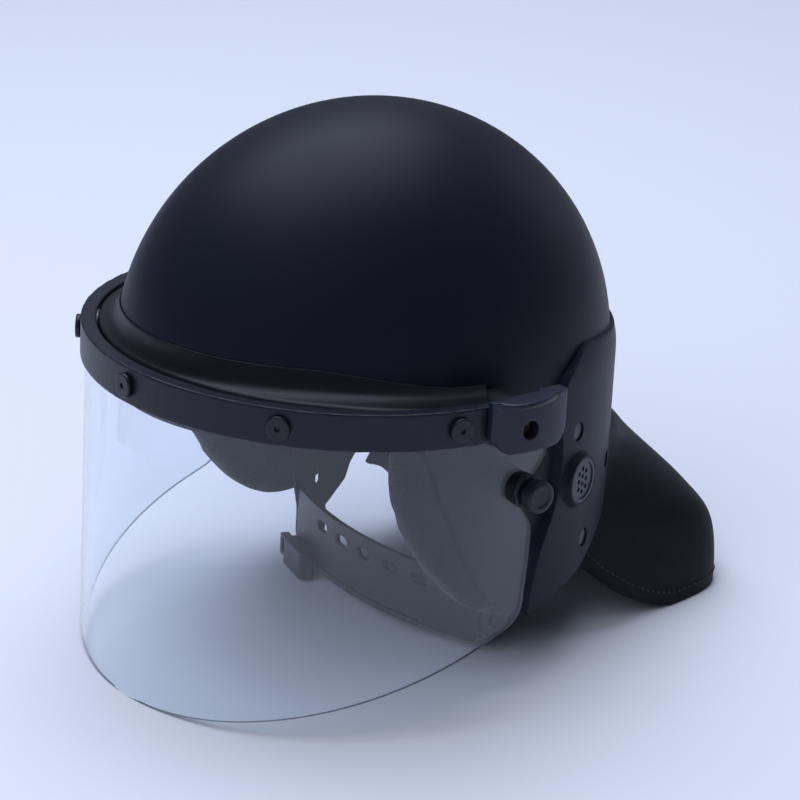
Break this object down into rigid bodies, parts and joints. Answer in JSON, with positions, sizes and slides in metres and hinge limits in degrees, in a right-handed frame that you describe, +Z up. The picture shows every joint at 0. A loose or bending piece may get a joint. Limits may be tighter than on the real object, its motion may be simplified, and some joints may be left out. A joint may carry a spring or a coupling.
{
  "type": "riot helmet",
  "caption": "Dark open-face protective helmet with a framed clear lifting face shield, side locks, ear flaps with hearing ports, padded inside, chin band and leather neck guard.",
  "frame": {"origin": "centre of the footprint on the ground, under the middle of the bounding box, where the face shield and the neck guard stand", "axes": "+X towards the wearer's left, -Y towards the front where the face shield is, +Y towards the neck guard, +Z up"},
  "size_m": [0.3098, 0.3491, 0.2931],
  "materials": {
    "shell": "satin, smooth, very dark navy black",
    "frame": "satin black",
    "seal": "satin black",
    "clear_shield": "clear, polished both sides",
    "cover": "fine satin black",
    "knob": "satin black",
    "trim_plastic": "matt black",
    "washer": "matt dark grey",
    "fasteners": "black coated steel",
    "nuts": "dull zinc",
    "grille": "satin black",
    "leather": "smooth satin black",
    "foam": "matt black foam",
    "pad_fabric": "matt black cloth",
    "ear_fabric": "open mesh cloth over foam",
    "strap": "satin black moulding",
    "buckle": "satin black"
  },
  "bodies": {
    "helmet": {"brow_pad": "pad_fabric", "brow_seal": "seal", "buckle_housing": "buckle", "chin_band": "strap", "crown_pad": "pad_fabric", "ear_grille_left": "grille", "ear_grille_right": "grille", "ear_pad_left": "ear_fabric", "ear_pad_right": "ear_fabric", "flap_rivet_left_1": "fasteners", "flap_rivet_left_2": "fasteners", "flap_rivet_left_3": "fasteners", "flap_rivet_right_1": "fasteners", "flap_rivet_right_2": "fasteners", "flap_rivet_right_3": "fasteners", "hinge_boss_left": "trim_plastic", "hinge_boss_right": "trim_plastic", "hinge_nut_left": "nuts", "hinge_nut_right": "nuts", "hinge_screw_left": "fasteners", "hinge_screw_right": "fasteners", "hinge_washer_left": "washer", "hinge_washer_right": "washer", "impact_liner": "foam", "lock_nut_left": "nuts", "lock_nut_right": "nuts", "lock_stud_left": "trim_plastic", "lock_stud_right": "trim_plastic", "nape_pad": "pad_fabric", "neck_guard": "leather", "shell": "shell", "side_strap_left": "strap", "side_strap_right": "strap", "strap_rivet_left": "fasteners", "strap_rivet_right": "fasteners"},
    "visor": {"visor_frame": "frame", "visor": "clear_shield", "hinge_cover_left": "cover", "hinge_cover_right": "cover", "shield_screw_1": "fasteners", "shield_screw_2": "fasteners", "shield_screw_3": "fasteners", "shield_screw_4": "fasteners", "shield_screw_5": "fasteners", "shield_nut_1": "nuts", "shield_nut_2": "nuts", "shield_nut_3": "nuts", "shield_nut_4": "nuts", "shield_nut_5": "nuts"},
    "knob_left": {"lock_knob_left": "knob"},
    "knob_right": {"lock_knob_right": "knob"},
    "tongue": {"buckle_tongue": "buckle"}
  },
  "joints": [
    {"name": "visor_lift", "type": "hinge", "parent": "helmet", "child": "visor", "pos_m": [0, -0.02276, 0.16108], "axis": [-1, 0, 0], "range_deg": [0, 85]},
    {"name": "knob_left_turn", "type": "hinge", "parent": "helmet", "child": "knob_left", "pos_m": [0.143, -0.01371, 0.12065], "axis": [1, 0, 0], "range_deg": [0, 360]},
    {"name": "knob_right_turn", "type": "hinge", "parent": "helmet", "child": "knob_right", "pos_m": [-0.143, -0.01371, 0.12065], "axis": [-1, 0, 0], "range_deg": [0, 360]},
    {"name": "tongue_slide", "type": "slide", "parent": "helmet", "child": "tongue", "axis": [-0.9613, 0.2749, -0.0168], "range_m": [0, 0.014]}
  ]
}
